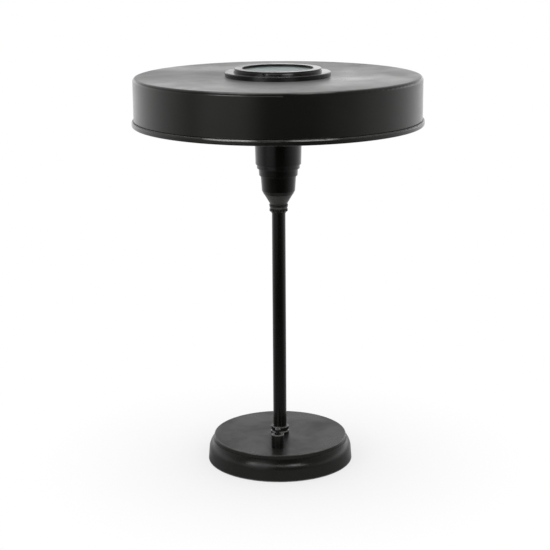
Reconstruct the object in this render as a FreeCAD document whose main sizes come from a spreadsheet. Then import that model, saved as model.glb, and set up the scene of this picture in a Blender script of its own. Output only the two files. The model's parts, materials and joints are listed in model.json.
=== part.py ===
"""Table lamp: a flat drum shade with a round glass port, on a slim pole and a round base with a switch.

Millimetres. +Z is up, the origin is the centre of the base on the table, and -Y is the front.
"""

import FreeCAD, Part
import Sketcher
import math
import os
import re

# Every size that can be set by itself.
SIZES = {
    # fits and gaps
    "turned_fit": 0.05,
    "running_fit": 0.04,
    "seat_gap": 0.3,
    # base
    "base_height": 37.0,
    "base_lift": 1.0,
    "base_foot_radius": 104.5,
    "base_wall": 1.6,
    "foot_draft": 1.1,
    "shoulder_drop": 15.6,
    "shoulder_arc": 22.8,
    "plate_rise": 6.4,
    "plate_step": 1.4,
    "plate_edge": 1.2,
    "plate_ledge": 0.6,
    "felt_inset": 3.4,
    "felt_thickness": 2.0,
    "felt_hole_gap": 1.2,
    "cover_thickness": 1.2,
    "cover_gap": 0.5,
    "weight_gap": 4.2,
    "weight_thickness": 16.4,
    "weight_chamfer": 2.0,
    "pillar_inset": 12.0,
    "pillar_radius": 6.0,
    "pillar_count": 4,
    "cover_screw_radius": 2.0,
    "cover_screw_head_radius": 3.8,
    "cover_screw_head": 1.5,
    "cover_screw_length": 10.0,
    "inlet_height": 13.0,
    "inlet_hole_radius": 5.0,
    "inlet_bush_wall": 1.6,
    "inlet_flange_width": 2.2,
    "inlet_flange": 1.8,
    # pole and its fittings
    "rod_radius": 5.0,
    "rod_wall": 1.4,
    "rod_below_nut": 1.0,
    "nut_rim": 4.8,
    "nut_height": 5.0,
    "rod_washer_radius": 12.0,
    "rod_washer": 1.6,
    "pole_radius": 9.6,
    "pole_wall": 1.3,
    "pole_length": 333.1,
    "foot_ring_out": 3.6,
    "foot_ring_height": 4.6,
    "foot_groove_out": 2.0,
    "foot_groove_height": 2.2,
    "foot_crown_out": 3.3,
    "foot_crown_height": 4.6,
    "foot_floor": 3.0,
    "collar_edge": 0.6,
    "flute_count": 12,
    "flute_radius": 1.7,
    "flute_depth": 0.7,
    "neck_flange_out": 3.5,
    "neck_flange_edge": 2.6,
    "neck_waist_out": 2.35,
    "neck_taper_height": 3.0,
    "neck_ring_out": 3.4,
    "neck_ring_height": 3.8,
    "neck_sleeve_out": 0.9,
    "neck_sleeve_height": 2.1,
    "neck_floor": 3.4,
    # stepped cup round the lampholder
    "ferrule_height": 15.3,
    "ferrule_set_in": 0.5,
    "ferrule_lip": 0.1,
    "ferrule_lip_height": 2.4,
    "ferrule_margin": 0.4,
    "cup_wall": 1.2,
    "cup_air": 4.1,
    "cup_cone_out": 2.6,
    "cup_cone_height": 5.1,
    "cup_first_out": 1.6,
    "cup_first_height": 21.2,
    "cup_second_out": 2.1,
    "cup_second_flare": 0.5,
    "cup_second_height": 10.1,
    "cup_third_out": 2.5,
    "cup_third_height": 5.8,
    "cup_fourth_out": 1.9,
    "cup_mouth_flare": 0.8,
    "cup_step_edge": 1.0,
    "cup_height": 76.4,
    "cup_washer_margin": 4.3,
    "cup_washer": 1.5,
    # lampholder
    "holder_above_nut": 6.5,
    "holder_neck_length": 10.0,
    "holder_neck_wall": 3.0,
    "holder_radius": 19.7,
    "holder_wall": 1.8,
    "holder_floor": 1.5,
    "holder_cap_depth": 15.0,
    "holder_above_ring": 2.1,
    "insulator_gap": 0.2,
    "insulator_height": 12.5,
    "insulator_recess_radius": 12.0,
    "insulator_recess": 6.0,
    "holder_terminal_width": 3.0,
    "holder_terminal_length": 6.0,
    "holder_terminal_height": 4.0,
    "holder_terminal_gap": 0.4,
    "centre_contact_radius": 3.2,
    "centre_contact_height": 2.5,
    "thread_gap": 0.4,
    "shell_wall": 0.5,
    "shell_length": 25.0,
    "shell_bead": 0.5,
    "lower_ring_gap": 0.6,
    "lower_ring_height": 4.2,
    "upper_ring_width": 7.75,
    "upper_ring_height": 4.0,
    "ring_notch_count": 8,
    "ring_notch_radius": 2.0,
    # bulb
    "bulb_tip_radius": 2.5,
    "bulb_tip_height": 1.0,
    "bulb_seal_radius": 6.4,
    "bulb_cap_radius": 13.2,
    "bulb_cap_wall": 0.6,
    "bulb_cap_taper": 3.5,
    "bulb_cap_length": 25.0,
    "bulb_neck_inset": 0.2,
    "bulb_neck_length": 16.2,
    "bulb_radius": 30.0,
    "bulb_tangent": 38.0,
    "bulb_wall": 0.8,
    "stem_flare": 1.5,
    "stem_radius": 3.0,
    "stem_height": 20.0,
    "stem_table_radius": 7.0,
    "stem_table": 1.5,
    "filament_count": 4,
    "filament_radius": 0.9,
    "filament_ring": 5.0,
    "filament_length": 32.0,
    # shade
    "shade_radius": 200.0,
    "shade_rise": 22.6,
    "shade_height": 66.6,
    "shade_sheet": 1.0,
    "shade_edge": 5.0,
    "shade_dish": 0.8,
    "shade_seat": 6.0,
    "hem_out": 2.7,
    "hem_height": 7.2,
    "hem_edge": 2.2,
    "hem_foot_edge": 1.6,
    "crease_depth": 0.5,
    "crease_height": 1.2,
    "carrier_thickness": 2.2,
    "arm_count": 3,
    "arm_width": 12.0,
    "arm_thickness": 2.5,
    "arm_clearance": 2.3,
    "arm_lap": 10.2,
    "arm_bend_out": 2.0,
    "arm_foot_rise": 13.2,
    "arm_foot_length": 18.0,
    "arm_turn": 90.0,
    "rivet_inset": 4.0,
    "rivet_radius": 1.6,
    "rivet_head_radius": 2.8,
    "rivet_head": 1.2,
    # round glass port in the shade's top
    "port_view_radius": 49.2,
    "port_lip_overlap": 1.3,
    "port_seat_width": 3.3,
    "port_seat_depth": 2.2,
    "port_spigot_wall": 2.2,
    "port_ring_wall": 4.9,
    "port_ring_edge": 0.9,
    "port_ring_groove": 0.6,
    "port_ring_groove_height": 2.4,
    "port_lip_thickness": 2.7,
    "port_ring_ceiling": 1.65,
    "port_flange_margin": 12.1,
    "port_flange_height": 6.4,
    "port_flange_edge": 1.0,
    "port_flange_wall": 2.0,
    "port_glass_thickness": 3.3,
    "port_glass_play": 0.2,
    "gasket_thickness": 1.0,
    "clamp_ring_thickness": 2.0,
    "port_screw_inset": 2.5,
    "port_screw_margin": 3.5,
    "port_screw_count": 4,
    "port_screw_radius": 1.5,
    "port_screw_head_radius": 2.8,
    "port_screw_head": 1.8,
    "port_screw_cover": 1.4,
    "lock_screw_count": 3,
    "lock_screw_radius": 1.5,
    "lock_screw_sink": 0.7,
    "lock_sink_flare": 0.9,
    "lock_screw_turn": -17.8,
    # switch
    "switch_x": -3.5,
    "switch_y": -59.0,
    "barrel_radius": 9.0,
    "barrel_wall": 1.4,
    "barrel_edge": 0.9,
    "tail_radius": 6.0,
    "tail_wall": 1.8,
    "tail_length": 9.5,
    "switch_nut_rim": 3.6,
    "switch_nut_height": 3.6,
    "switch_pocket_gap": 3.4,
    "pivot_drop": 4.8,
    "lever_ball_radius": 4.0,
    "lever_ball_gap": 0.4,
    "lever_stem_radius": 3.0,
    "lever_way": 1.9,
    "lever_tip_radius": 3.8,
    "lever_length": 14.0,
    "lever_waist_length": 7.6,
    "lever_finger_radius": 1.2,
    "lever_finger_reach": 7.4,
    "lever_finger_gap": 1.4,
    "lever_throw": 24.0,
    "pin_radius": 1.0,
    "bridge_radius": 0.7,
    "bridge_overhang": 0.4,
    "bridge_gap": 0.25,
    "cradle_floor": 4.0,
    "cradle_cheek_above": 2.2,
    "blade_width": 1.4,
    "blade_thickness": 0.6,
    "blade_parting": 2.7,
    "blade_above_bridge": 1.5,
    "blade_tail": 3.0,
    # wiring inside the lamp
    "lead_radius": 1.0,
    "lead_parting": 1.2,
    "lead_bend": 6.2,
    "lead_lift": 0.3,
    "feed_inset": 2.0,
    "block_y": 60.0,
    "block_length": 26.0,
    "block_depth": 14.0,
    "block_height": 9.0,
}

# Places and sizes that follow from the ones above.
WORKED_OUT = {
    # base
    "plate_underside": "base_height - base_wall",
    "shoulder_end": "base_height - plate_rise",
    "shoulder_start": "shoulder_end - shoulder_drop",
    "shoulder_radius": "base_foot_radius - foot_draft",
    "shoulder_centre": "shoulder_radius - shoulder_arc",
    "shoulder_end_radius": "shoulder_centre + sqrt(shoulder_arc^2 - shoulder_drop^2)",
    "plate_radius": "shoulder_end_radius - plate_step",
    "inner_riser": "plate_radius - base_wall",
    "inner_arc": "shoulder_arc - base_wall",
    "inner_arc_end": "shoulder_start + sqrt(inner_arc^2 - (inner_riser - shoulder_centre)^2)",
    "cover_top": "felt_thickness + cover_thickness",
    "cover_radius": "base_foot_radius - base_wall - cover_gap",
    "felt_radius": "cover_radius - felt_inset",
    "felt_hole_radius": "cover_screw_head_radius + felt_hole_gap",
    "weight_radius": "inner_riser - weight_gap",
    "weight_bottom": "plate_underside - weight_thickness",
    "pillar_offset": "(weight_radius - pillar_inset) * cos(45)",
    "inlet_bore_radius": "inlet_hole_radius - inlet_bush_wall",
    "inlet_flange_radius": "inlet_hole_radius + inlet_flange_width",
    "inlet_rear": "base_foot_radius + inlet_flange / 2",
    "inlet_length": "base_wall + 2 * inlet_flange",
    # pole and its fittings
    "rod_bore_radius": "rod_radius - rod_wall",
    "rod_pass_radius": "rod_radius + turned_fit",
    "rod_nut_top": "weight_bottom - rod_washer",
    "rod_bottom": "rod_nut_top - nut_height - rod_below_nut",
    "rod_top": "holder_floor_bottom - holder_floor",
    "pole_bottom": "base_height + foot_floor",
    "pole_top": "pole_bottom + pole_length",
    "pole_socket_radius": "pole_radius + turned_fit",
    "foot_ring_radius": "pole_radius + foot_ring_out",
    "foot_groove_radius": "pole_radius + foot_groove_out",
    "foot_crown_radius": "pole_radius + foot_crown_out",
    "foot_groove_bottom": "base_height + foot_ring_height",
    "foot_groove_top": "foot_groove_bottom + foot_groove_height",
    "foot_top": "foot_groove_top + foot_crown_height",
    "neck_flange_radius": "pole_radius + neck_flange_out",
    "neck_waist_radius": "pole_radius + neck_waist_out",
    "neck_ring_radius": "pole_radius + neck_ring_out",
    "neck_sleeve_radius": "pole_radius + neck_sleeve_out",
    "neck_height": "pole_top + neck_floor",
    "neck_flange_bottom": "neck_height - neck_flange_edge",
    "neck_ring_top": "neck_flange_bottom - neck_taper_height",
    "neck_ring_bottom": "neck_ring_top - neck_ring_height",
    "neck_bottom": "neck_ring_bottom - neck_sleeve_height",
    # stepped cup
    "cup_first_radius": "holder_radius + cup_air + cup_wall",
    "cup_cone_radius": "cup_first_radius - cup_first_out",
    "cup_floor_radius": "cup_cone_radius - cup_cone_out",
    "cup_second_radius": "cup_first_radius + cup_second_out",
    "cup_second_top_radius": "cup_second_radius + cup_second_flare",
    "cup_third_radius": "cup_second_top_radius + cup_third_out",
    "cup_fourth_radius": "cup_third_radius + cup_fourth_out",
    "cup_mouth_radius": "cup_fourth_radius + cup_mouth_flare",
    "cup_bottom": "neck_height + ferrule_height",
    "cup_cone_top": "cup_bottom + cup_cone_height",
    "cup_first_top": "cup_cone_top + cup_first_height",
    "cup_second_top": "cup_first_top + cup_second_height",
    "cup_third_top": "cup_second_top + cup_third_height",
    "cup_top": "cup_bottom + cup_height",
    "cup_nut_bottom": "cup_bottom + cup_wall + cup_washer",
    "ferrule_foot_radius": "neck_flange_radius - ferrule_set_in",
    "ferrule_top_radius": "cup_floor_radius - ferrule_margin",
    # lampholder
    "holder_neck_bottom": "cup_nut_bottom + nut_height + holder_above_nut",
    "holder_neck_radius": "rod_radius + holder_neck_wall",
    "holder_floor_bottom": "holder_neck_bottom + holder_neck_length",
    "holder_floor_top": "holder_floor_bottom + holder_floor",
    "holder_cap_top": "holder_floor_top + holder_cap_depth",
    "holder_top": "carrier_top + upper_ring_height + holder_above_ring",
    "holder_bore_radius": "holder_radius - holder_wall",
    "insulator_radius": "holder_bore_radius - insulator_gap",
    "insulator_top": "holder_floor_top + insulator_height",
    "recess_top": "holder_floor_top + insulator_recess",
    "contact_top": "insulator_top + centre_contact_height",
    "shell_bore_radius": "bulb_cap_radius + thread_gap",
    "shell_radius": "shell_bore_radius + shell_wall",
    "shell_top": "insulator_top + shell_length",
    "ring_bore_radius": "holder_radius + turned_fit",
    "lower_ring_radius": "cup_fourth_radius - cup_wall - lower_ring_gap",
    "upper_ring_radius": "ring_bore_radius + upper_ring_width",
    # bulb
    "seal_bottom": "contact_top + bulb_tip_height",
    "cap_shoulder": "seal_bottom + bulb_cap_taper",
    "cap_top": "seal_bottom + bulb_cap_length",
    "bulb_neck_radius": "bulb_cap_radius - bulb_neck_inset",
    "glass_neck_top": "cap_top + bulb_neck_length",
    "glass_tangent_radius": "bulb_radius * cos(bulb_tangent)",
    "glass_tangent_height": "glass_neck_top + (glass_tangent_radius - bulb_neck_radius) / tan(bulb_tangent)",
    "glass_centre": "glass_tangent_height + bulb_radius * sin(bulb_tangent)",
    "glass_inner": "bulb_radius - bulb_wall",
    "glass_inner_tangent_radius": "glass_inner * cos(bulb_tangent)",
    "glass_inner_tangent_height": "glass_centre - glass_inner * sin(bulb_tangent)",
    "glass_inner_neck": "bulb_neck_radius - bulb_wall",
    "glass_inner_neck_top": "glass_inner_tangent_height"
                            " - (glass_inner_tangent_radius - glass_inner_neck) / tan(bulb_tangent)",
    "stem_top": "cap_top + stem_height",
    # shade and its carrier
    "shade_bottom": "cup_top + shade_rise",
    "shade_top": "shade_bottom + shade_height",
    "shade_inner": "shade_radius - shade_sheet",
    "shade_aperture": "port_view_radius + port_lip_overlap",
    "shade_seat_height": "shade_top - shade_dish",
    "shade_seat_radius": "port_flange_radius + shade_seat",
    "hem_top": "shade_bottom + hem_height",
    "hem_radius": "shade_radius + hem_out",
    "inner_edge": "shade_edge - shade_sheet",
    "carrier_top": "cup_top + carrier_thickness",
    "arm_start": "upper_ring_radius + arm_clearance",
    "carrier_radius": "arm_start + arm_lap",
    "rivet_ring": "carrier_radius - rivet_inset",
    "arm_bend": "carrier_radius + arm_bend_out",
    "arm_face": "sqrt(shade_inner^2 - (arm_width / 2)^2) - turned_fit",
    "arm_foot_bottom": "shade_bottom + arm_foot_rise",
    "arm_foot_top": "arm_foot_bottom + arm_foot_length",
    "arm_slope": "(arm_foot_bottom - carrier_top) / (arm_face - arm_bend)",
    "arm_upright": "arm_thickness * sqrt(1 + arm_slope^2)",
    # round glass port
    "port_seat_radius": "shade_aperture + port_seat_width",
    "port_spigot_radius": "port_seat_radius + port_spigot_wall",
    "port_ring_radius": "port_spigot_radius + port_ring_wall",
    "port_flange_radius": "port_ring_radius + port_flange_margin",
    "port_screw_ring": "port_spigot_radius + port_screw_inset",
    "clamp_ring_radius": "port_screw_ring + port_screw_margin",
    "port_flange_top": "shade_seat_height + port_flange_height",
    "port_seat": "port_flange_top - port_seat_depth",
    "glass_bottom": "port_seat + gasket_thickness",
    "glass_top": "glass_bottom + port_glass_thickness",
    "glass_radius": "port_seat_radius - seat_gap",
    "ring_lip_bottom": "glass_top + port_glass_play",
    "port_top": "ring_lip_bottom + port_lip_thickness",
    "ring_recess_top": "port_top - port_ring_ceiling",
    "ring_recess_radius": "port_spigot_radius + turned_fit",
    "spigot_top": "ring_recess_top - turned_fit",
    "ring_groove_bottom": "port_flange_top + port_ring_groove_height",
    "ring_upper_radius": "port_ring_radius - port_ring_groove",
    "lock_height": "(port_flange_top + port_top) / 2",
    "lock_screw_face": "ring_upper_radius - lock_screw_sink",
    "clamp_top": "shade_seat_height - shade_sheet",
    "clamp_bottom": "clamp_top - clamp_ring_thickness",
    "port_thread_depth": "port_flange_height - port_screw_cover + seat_gap",
    "port_screw_length": "clamp_ring_thickness + shade_sheet + port_flange_height - port_screw_cover",
    # switch
    "tail_bore_radius": "tail_radius - tail_wall",
    "tail_bottom": "base_height - tail_length",
    "switch_nut_across": "tail_radius + switch_nut_rim",
    "switch_pocket_radius": "switch_nut_across + switch_pocket_gap",
    "barrel_floor": "base_height + barrel_wall",
    "barrel_bore_radius": "barrel_radius - barrel_wall",
    "barrel_mouth_radius": "lever_stem_radius + lever_way",
    "cradle_radius": "barrel_bore_radius - turned_fit",
    "cradle_floor_top": "barrel_floor + cradle_floor",
    "cradle_slot": "2 * (lever_ball_radius + lever_ball_gap)",
    "pivot_height": "cradle_floor_top + lever_finger_gap + lever_finger_reach",
    "cradle_top": "pivot_height + cradle_cheek_above",
    "barrel_top": "pivot_height + pivot_drop",
    "bridge_reach": "lever_finger_reach - lever_finger_radius",
    "bridge_length": "blade_spacing + blade_width + 2 * bridge_overhang",
    "bridge_swing": "bridge_reach * sin(lever_throw / 2)",
    "blade_spacing": "blade_width + blade_parting",
    "blade_across": "bridge_swing + bridge_radius + bridge_gap + blade_thickness / 2",
    "blade_top": "pivot_height - bridge_reach * cos(lever_throw / 2) + blade_above_bridge",
    "blade_bottom": "tail_bottom - blade_tail",
    "blade_y": "switch_y + blade_across",
    # wiring
    "lead_height": "cover_top + lead_radius + lead_lift",
    "lead_top": "recess_top - holder_terminal_height",
    "lead_side": "lead_radius + lead_parting / 2",
    "block_face": "block_y - block_depth / 2",
    "feed_side": "block_length / 2 - feed_inset",
}

WORD = re.compile(r"[a-z][a-z_]+")
FUNCTIONS = ("sqrt", "cos", "sin", "tan")

doc = FreeCAD.newDocument("table_lamp")
sheet = doc.addObject("Spreadsheet::Sheet", "Sizes")
subparts = []


def fill_sheet():
    """Writes each size into a cell of its own and gives the cell the size's name."""
    for row, (name, size) in enumerate(SIZES.items(), start=1):
        sheet.set(f"A{row}", name)
        sheet.set(f"B{row}", str(size))
        sheet.setAlias(f"B{row}", name)
    doc.recompute()


def spelled_out(words):
    """An expression in which every name is a cell of the sheet."""
    def replace(found):
        name = found.group()
        if name in WORKED_OUT:
            return "(" + spelled_out(WORKED_OUT[name]) + ")"
        if name in SIZES:
            return "Sizes." + name
        if name in FUNCTIONS:
            return name
        raise ValueError(f"no size is called {name}")
    return WORD.sub(replace, words)


def number(words):
    return float(sheet.evalExpression(spelled_out(words)))


def bind(thing, **properties):
    """Binds properties to expressions. A double underscore in a property's name stands for a dot."""
    for name, words in properties.items():
        thing.setExpression(name.replace("__", "."), spelled_out(words))


def place(thing, x="0", y="0", z="0"):
    bind(thing, Placement__Base__x=x, Placement__Base__y=y, Placement__Base__z=z)


def turn(thing, axis, angle):
    """Turns a thing about an axis through its own origin."""
    thing.Placement.Rotation = FreeCAD.Rotation(FreeCAD.Vector(*axis), 1)
    bind(thing, Placement__Rotation__Angle=angle)


def new_body(label):
    body = doc.addObject("PartDesign::Body", label)
    body.Label = label
    subparts.append(body)
    return body


def origin_feature(body, role):
    return next(feature for feature in body.Origin.OriginFeatures if feature.Role == role)


def arc_between(start, end, radius):
    """The circular arc that goes anticlockwise from start to end, by less than half a turn."""
    half = (end - start) * 0.5
    rise = math.sqrt(max(radius ** 2 - half.Length ** 2, 0))
    left = FreeCAD.Vector(-half.y, half.x, 0).normalize()
    centre = start + half + left * rise
    circle = Part.Circle(centre, FreeCAD.Vector(0, 0, 1), radius)
    angles = [math.atan2(point.y - centre.y, point.x - centre.x) for point in (start, end)]
    if angles[1] < angles[0]:
        angles[1] += 2 * math.pi
    return Part.ArcOfCircle(circle, *angles)


def outline(body, name, plane, corners):
    """A closed sketch through corners given anticlockwise as (across, up).

    A corner that starts an arc adds "round" (it bulges outwards) or "hollow", and the radius.
    """
    sketch = body.newObject("Sketcher::SketchObject", name)
    sketch.AttachmentSupport = (origin_feature(body, plane), [""])
    sketch.MapMode = "FlatFace"
    points = [FreeCAD.Vector(number(corner[0]), number(corner[1]), 0) for corner in corners]
    first_ends = []
    last_ends = []
    for index, corner in enumerate(corners):
        start = points[index]
        end = points[(index + 1) % len(points)]
        form = corner[2] if len(corner) > 2 else "straight"
        if form == "straight":
            edge = Part.LineSegment(start, end)
        elif form == "round":
            edge = arc_between(start, end, number(corner[3]))
        else:
            edge = arc_between(end, start, number(corner[3]))
        sketch.addGeometry(edge)
        first_ends.append(2 if form == "hollow" else 1)
        last_ends.append(1 if form == "hollow" else 2)
    for index, corner in enumerate(corners):
        before = index - 1 if index else len(corners) - 1
        sketch.addConstraint(
            Sketcher.Constraint("Coincident", before, last_ends[before], index, first_ends[index])
        )
        for kind, words, value in zip(("DistanceX", "DistanceY"), corner, points[index]):
            held = sketch.addConstraint(
                Sketcher.Constraint(kind, -1, 1, index, first_ends[index], value)
            )
            sketch.setExpression(f"Constraints[{held}]", spelled_out(words))
        if len(corner) > 2:
            held = sketch.addConstraint(Sketcher.Constraint("Radius", index, number(corner[3])))
            sketch.setExpression(f"Constraints[{held}]", spelled_out(corner[3]))
    return sketch


def revolve(body, name, corners, kind="PartDesign::Revolution"):
    feature = body.newObject(kind, name)
    feature.Profile = outline(body, name + "_outline", "XZ_Plane", corners)
    feature.ReferenceAxis = (feature.Profile[0], ["V_Axis"])
    feature.Angle = 360
    doc.recompute()
    return feature


def turned(label, corners):
    """A sub-part turned about the lamp's axis."""
    body = new_body(label)
    revolve(body, label + "_section", corners)
    return body


def ring(label, inner, outer, bottom, top):
    """A plain washer, tube or disc on the lamp's axis."""
    return turned(label, [(inner, bottom), (outer, bottom), (outer, top), (inner, top)])


def cylinder(body, name, radius, length, kind="Additive", along="Z", **where):
    """A cylinder that starts at a point and goes along +Z, +X or -Y."""
    feature = body.newObject(f"PartDesign::{kind}Cylinder", name)
    bind(feature, Radius=radius, Height=length)
    if along == "X":
        feature.Placement.Rotation = FreeCAD.Rotation(FreeCAD.Vector(0, 1, 0), 90)
    elif along == "-Y":
        feature.Placement.Rotation = FreeCAD.Rotation(FreeCAD.Vector(1, 0, 0), 90)
    place(feature, **where)
    doc.recompute()
    return feature


def bore(body, name, radius, length, along="Z", **where):
    """A round hole, checked to take some of the body away."""
    before = body.Shape.Volume
    feature = cylinder(body, name, radius, length, "Subtractive", along, **where)
    if not body.Shape.Volume < before - 0.01:
        raise RuntimeError(f"{name} cuts nothing")
    return feature


def block(body, name, length, width, height, kind="Additive", **centre):
    """A block that stands on the point given, centred across X and Y."""
    feature = body.newObject(f"PartDesign::{kind}Box", name)
    bind(feature, Length=length, Width=width, Height=height)
    x = centre.get("x", "0")
    y = centre.get("y", "0")
    place(feature, f"{x} - ({length}) / 2", f"{y} - ({width}) / 2", centre.get("z", "0"))
    doc.recompute()
    return feature


def repeat_round(body, feature, count):
    """Repeats one feature evenly round the body's own axis."""
    pattern = body.newObject("PartDesign::PolarPattern", feature.Label + "_round")
    pattern.Originals = [feature]
    pattern.Axis = (origin_feature(body, "Z_Axis"), [""])
    pattern.Angle = 360
    bind(pattern, Occurrences=count)
    body.Tip = pattern
    doc.recompute()
    return pattern


def nut(label, across, height, bottom, hole, **where):
    """A hexagonal nut: across is the radius to its corners."""
    body = new_body(label)
    prism = body.newObject("PartDesign::AdditivePrism", label + "_hexagon")
    prism.Polygon = 6
    bind(prism, Circumradius=across, Height=height)
    doc.recompute()
    bore(body, label + "_thread", hole, height)
    place(body, z=bottom, **where)
    return body


def base_shell():
    body = turned("base_shell", [
        ("base_foot_radius - base_wall", "base_lift"),
        ("base_foot_radius", "base_lift"),
        ("shoulder_radius", "shoulder_start", "round", "shoulder_arc"),
        ("shoulder_end_radius", "shoulder_end"),
        ("plate_radius", "shoulder_end + plate_ledge"),
        ("plate_radius", "base_height - plate_edge", "round", "plate_edge"),
        ("plate_radius - plate_edge", "base_height"),
        ("0", "base_height"),
        ("0", "plate_underside"),
        ("inner_riser", "plate_underside"),
        ("inner_riser", "inner_arc_end", "hollow", "inner_arc"),
        ("shoulder_radius - base_wall", "shoulder_start"),
    ])
    bore(body, "rod_hole", "rod_pass_radius", "base_wall", z="plate_underside")
    bore(body, "switch_hole", "tail_radius + turned_fit", "base_wall",
         x="switch_x", y="switch_y", z="plate_underside")
    bore(body, "inlet_hole", "inlet_hole_radius", "inlet_length", "-Y",
         y="inlet_rear", z="inlet_height")
    return body


def base_weight():
    body = turned("base_weight", [
        ("rod_pass_radius", "weight_bottom"),
        ("weight_radius - weight_chamfer", "weight_bottom"),
        ("weight_radius", "weight_bottom + weight_chamfer"),
        ("weight_radius", "plate_underside"),
        ("rod_pass_radius", "plate_underside"),
    ])
    bore(body, "switch_pocket", "switch_pocket_radius", "weight_thickness",
         x="switch_x", y="switch_y", z="weight_bottom")
    pillar = cylinder(body, "pillar", "pillar_radius", "weight_bottom - cover_top + weight_chamfer",
                      x="pillar_offset", y="pillar_offset", z="cover_top")
    repeat_round(body, pillar, "pillar_count")
    hole = bore(body, "pillar_thread", "cover_screw_radius + running_fit", "cover_screw_length",
                x="pillar_offset", y="pillar_offset", z="cover_top")
    repeat_round(body, hole, "pillar_count")
    return body


def bottom_cover():
    body = ring("bottom_cover", "0", "cover_radius", "felt_thickness", "cover_top")
    hole = bore(body, "cover_hole", "cover_screw_radius + seat_gap", "cover_thickness",
                x="pillar_offset", y="pillar_offset", z="felt_thickness")
    repeat_round(body, hole, "pillar_count")
    return body


def felt_pad():
    body = ring("felt_pad", "0", "felt_radius", "0", "felt_thickness")
    hole = bore(body, "felt_hole", "felt_hole_radius", "felt_thickness",
                x="pillar_offset", y="pillar_offset")
    repeat_round(body, hole, "pillar_count")
    return body


def cover_screws():
    body = new_body("cover_screws")
    where = {"x": "pillar_offset", "y": "pillar_offset"}
    head = cylinder(body, "screw_head", "cover_screw_head_radius", "cover_screw_head",
                    z="felt_thickness - cover_screw_head", **where)
    repeat_round(body, head, "pillar_count")
    shank = cylinder(body, "screw_shank", "cover_screw_radius", "cover_screw_length",
                     z="felt_thickness", **where)
    repeat_round(body, shank, "pillar_count")
    return body


def cord_grommet(shell):
    """A rubber inlet bush that hugs the base's wall inside and outside."""
    blank = doc.addObject("PartDesign::Body", "grommet_blank")
    cylinder(blank, "grommet_rim", "inlet_flange_radius", "inlet_length", along="-Y",
             y="inlet_rear", z="inlet_height")
    bore(blank, "grommet_bore", "inlet_bore_radius", "inlet_length", "-Y",
         y="inlet_rear", z="inlet_height")
    grommet = doc.addObject("Part::Cut", "cord_grommet")
    grommet.Label = "cord_grommet"
    grommet.Base = blank
    grommet.Tool = shell
    subparts.append(grommet)


def foot_collar():
    body = turned("foot_collar", [
        ("rod_pass_radius", "base_height"),
        ("foot_ring_radius", "base_height"),
        ("foot_ring_radius", "foot_groove_bottom - collar_edge"),
        ("foot_ring_radius - collar_edge", "foot_groove_bottom"),
        ("foot_groove_radius", "foot_groove_bottom"),
        ("foot_groove_radius", "foot_groove_top"),
        ("foot_crown_radius", "foot_groove_top"),
        ("foot_crown_radius", "foot_top - collar_edge"),
        ("foot_crown_radius - collar_edge", "foot_top"),
        ("pole_socket_radius", "foot_top"),
        ("pole_socket_radius", "pole_bottom"),
        ("rod_pass_radius", "pole_bottom"),
    ])
    flute = bore(body, "flute", "flute_radius", "foot_crown_height",
                 y="-(foot_crown_radius + flute_radius - flute_depth)", z="foot_groove_top")
    repeat_round(body, flute, "flute_count")
    return body


def top_collar():
    body = turned("top_collar", [
        ("pole_socket_radius", "neck_bottom"),
        ("neck_sleeve_radius", "neck_bottom"),
        ("neck_sleeve_radius", "neck_ring_bottom"),
        ("neck_ring_radius - collar_edge", "neck_ring_bottom"),
        ("neck_ring_radius", "neck_ring_bottom + collar_edge"),
        ("neck_ring_radius", "neck_ring_top - collar_edge"),
        ("neck_waist_radius", "neck_ring_top"),
        ("neck_flange_radius", "neck_flange_bottom"),
        ("neck_flange_radius", "neck_height"),
        ("rod_pass_radius", "neck_height"),
        ("rod_pass_radius", "pole_top"),
        ("pole_socket_radius", "pole_top"),
    ])
    flute = bore(body, "flute", "flute_radius", "neck_ring_height",
                 y="-(neck_ring_radius + flute_radius - flute_depth)", z="neck_ring_bottom")
    repeat_round(body, flute, "flute_count")
    return body


def pole_parts():
    ring("pole", "pole_radius - pole_wall", "pole_radius", "pole_bottom", "pole_top")
    ring("threaded_rod", "rod_bore_radius", "rod_radius", "rod_bottom", "rod_top")
    ring("rod_washer", "rod_pass_radius", "rod_washer_radius", "rod_nut_top", "weight_bottom")
    nut("rod_nut", "rod_radius + nut_rim", "nut_height", "rod_nut_top - nut_height", "rod_pass_radius")
    foot_collar()
    top_collar()


def cone_ferrule():
    return turned("cone_ferrule", [
        ("rod_pass_radius", "neck_height"),
        ("ferrule_foot_radius", "neck_height"),
        ("ferrule_foot_radius + ferrule_lip", "neck_height + ferrule_lip_height"),
        ("ferrule_top_radius", "cup_bottom"),
        ("rod_pass_radius", "cup_bottom"),
    ])


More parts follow.
